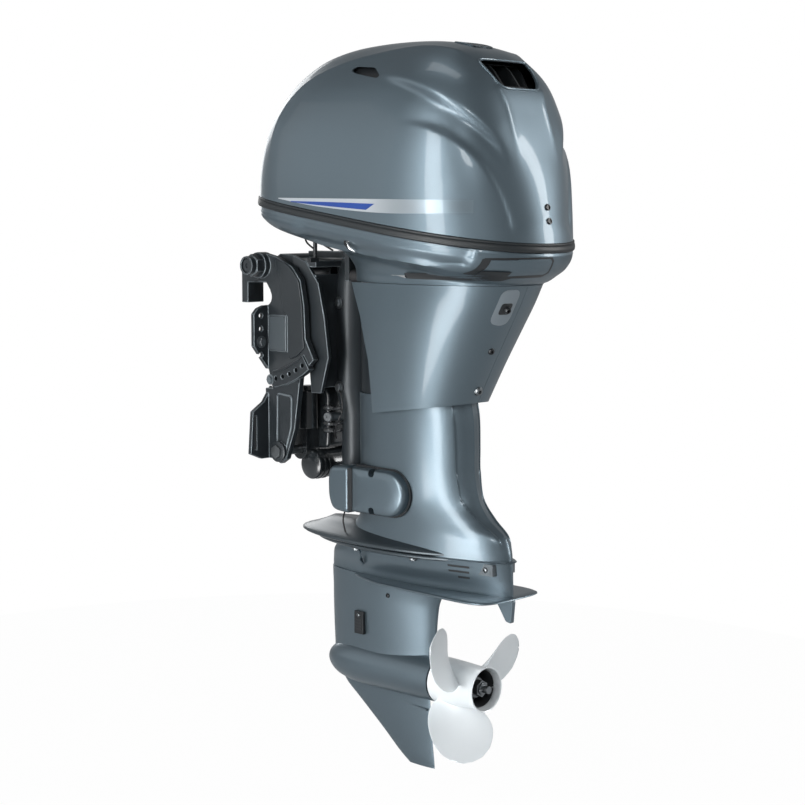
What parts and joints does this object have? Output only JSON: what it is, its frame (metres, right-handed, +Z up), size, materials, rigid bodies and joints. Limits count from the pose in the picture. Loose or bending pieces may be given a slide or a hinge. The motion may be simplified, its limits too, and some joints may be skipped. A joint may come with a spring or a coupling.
{
  "type": "outboard motor",
  "caption": "Remote-steered long-shaft outboard motor with tilting swivel bracket, lift-off cowl, gearcase and three-bladed propeller.",
  "frame": {"origin": "middle of the transom's top edge on its aft face, between the two clamp brackets", "axes": "+X aft, +Y starboard, +Z up"},
  "size_m": [0.6971, 0.3822, 1.35],
  "materials": {
    "cowl_paint": "metallic blue-grey gloss paint",
    "casing_paint": "metallic blue-grey gloss paint on cast aluminium",
    "apron_plastic": "painted moulding",
    "cowl_plastic": "painted moulding with metallic flakes",
    "seal_rubber": "satin black rubber",
    "black_casting": "satin black paint on cast aluminium",
    "black_plastic": "matte black moulding",
    "mount_rubber": "matte rubber",
    "bare_alloy": "cast, bare",
    "bright_steel": "machined",
    "prop_paint": "pale silver paint on cast aluminium",
    "bronze": "machined"
  },
  "bodies": {
    "transom_bracket": {"clamp_bracket_port": "black_casting", "clamp_bracket_starboard": "black_casting", "tilt_tube": "bright_steel", "tilt_tube_nut_port": "black_casting", "tilt_tube_nut_starboard": "black_casting", "lower_cross_shaft": "bright_steel"},
    "swivel": {"swivel_bracket": "black_casting"},
    "motor": {"steering_bracket": "black_casting", "lower_yoke": "casing_paint", "upper_mount_port": "mount_rubber", "upper_mount_starboard": "mount_rubber", "lower_mount_port": "mount_rubber", "lower_mount_starboard": "mount_rubber", "lower_mount_cover_port": "casing_paint", "lower_mount_cover_starboard": "casing_paint", "exhaust_guide": "bare_alloy", "oil_pan": "black_casting", "upper_casing": "casing_paint", "lower_casing": "casing_paint", "apron_port": "apron_plastic", "apron_starboard": "apron_plastic", "bottom_cowl": "cowl_plastic", "cowl_seal": "seal_rubber", "trim_tab": "casing_paint", "anode_port": "bare_alloy", "anode_starboard": "bare_alloy", "water_inlet_port": "casing_paint", "water_inlet_starboard": "casing_paint", "water_pump_housing": "black_plastic", "bearing_carrier": "bare_alloy", "forward_gear_bearing": "bright_steel", "cylinder_block": "bare_alloy", "cylinder_head": "bare_alloy", "head_cover": "cowl_paint", "intake_manifold": "black_plastic", "starter_motor": "black_plastic", "oil_filter": "black_plastic"},
    "crank_train": {"crankshaft": "bright_steel", "flywheel": "bright_steel", "drive_shaft": "bright_steel", "pump_impeller": "mount_rubber", "pinion": "bright_steel"},
    "prop_train": {"propeller_shaft": "bright_steel", "propeller": "prop_paint", "propeller_bush": "mount_rubber", "propeller_nut": "bright_steel", "thrust_washer": "bronze"},
    "forward_gear": {"forward_gear": "bright_steel"},
    "reverse_gear": {"reverse_gear": "bright_steel"},
    "clutch": {"dog_clutch": "bright_steel"},
    "shift": {"shift_rod": "bright_steel"},
    "cowl": {"top_cowl": "cowl_plastic", "intake_duct": "black_plastic"},
    "cowl_lever": {"rear_latch_lever": "cowl_plastic"},
    "cowl_hook": {"front_latch_hook": "black_plastic"},
    "support_lever": {"tilt_support_lever": "bright_steel"},
    "tilt_unit": {"tilt_cylinder": "black_casting", "tilt_motor": "black_plastic", "fluid_reservoir": "black_plastic"},
    "ram": {"tilt_ram": "bright_steel"}
  },
  "joints": [
    {"name": "tilt", "type": "hinge", "parent": "transom_bracket", "child": "swivel", "pos_m": [-0.008, 0, 0.036], "axis": [0, -1, 0], "range_deg": [-2, 66]},
    {"name": "steer", "type": "hinge", "parent": "swivel", "child": "motor", "pos_m": [0.138, 0, -0.15], "axis": [0, 0, 1], "range_deg": [-35, 35]},
    {"name": "crank_spin", "type": "hinge", "parent": "motor", "child": "crank_train", "pos_m": [0.24, 0, 0.1], "axis": [0, 0, 1], "continuous": true},
    {"name": "prop_spin", "type": "hinge", "parent": "motor", "child": "prop_train", "pos_m": [0.4, 0, -0.73], "axis": [1, 0, 0], "continuous": true},
    {"name": "forward_gear_spin", "type": "hinge", "parent": "motor", "child": "forward_gear", "pos_m": [0.224, 0, -0.73], "axis": [1, 0, 0], "continuous": true},
    {"name": "reverse_gear_spin", "type": "hinge", "parent": "motor", "child": "reverse_gear", "pos_m": [0.256, 0, -0.73], "axis": [1, 0, 0], "continuous": true},
    {"name": "shift_turn", "type": "hinge", "parent": "motor", "child": "shift", "pos_m": [0.192, 0, -0.2], "axis": [0, 0, 1], "range_deg": [-25, 25]},
    {"name": "clutch_slide", "type": "slide", "parent": "prop_train", "child": "clutch", "axis": [1, 0, 0], "range_m": [-0.003, 0.003]},
    {"name": "cowl_lift", "type": "slide", "parent": "motor", "child": "cowl", "axis": [0, 0, 1], "range_m": [0, 0.2]},
    {"name": "cowl_lever_turn", "type": "hinge", "parent": "motor", "child": "cowl_lever", "pos_m": [0.606, -0.061, 0.0575], "axis": [-0.427, -0.9042, 0], "range_deg": [0, 28]},
    {"name": "cowl_hook_turn", "type": "hinge", "parent": "motor", "child": "cowl_hook", "pos_m": [0.15, -0.118, 0.06], "axis": [0, 0, 1], "range_deg": [0, 90]},
    {"name": "support_lever_turn", "type": "hinge", "parent": "swivel", "child": "support_lever", "pos_m": [0.06, -0.076, 0.02], "axis": [0, 1, 0], "range_deg": [0, 60]},
    {"name": "tilt_unit_swing", "type": "hinge", "parent": "transom_bracket", "child": "tilt_unit", "pos_m": [0.042, 0, -0.32], "axis": [0, -1, 0], "range_deg": [-6, 1]},
    {"name": "ram_extend", "type": "slide", "parent": "tilt_unit", "child": "ram", "axis": [0.1259, 0, 0.992], "range_m": [-0.006, 0.139]}
  ],
  "couplings": [
    {"joint": "prop_spin", "follows": "crank_spin", "ratio": 0.5},
    {"joint": "forward_gear_spin", "follows": "crank_spin", "ratio": 0.5},
    {"joint": "reverse_gear_spin", "follows": "crank_spin", "ratio": -0.5},
    {"joint": "clutch_slide", "follows": "shift_turn", "m_per_rad": 0.006875},
    {"joint": "tilt_unit_swing", "follows": "tilt", "ratio": -0.075},
    {"joint": "ram_extend", "follows": "tilt", "m_per_rad": 0.11905}
  ]
}
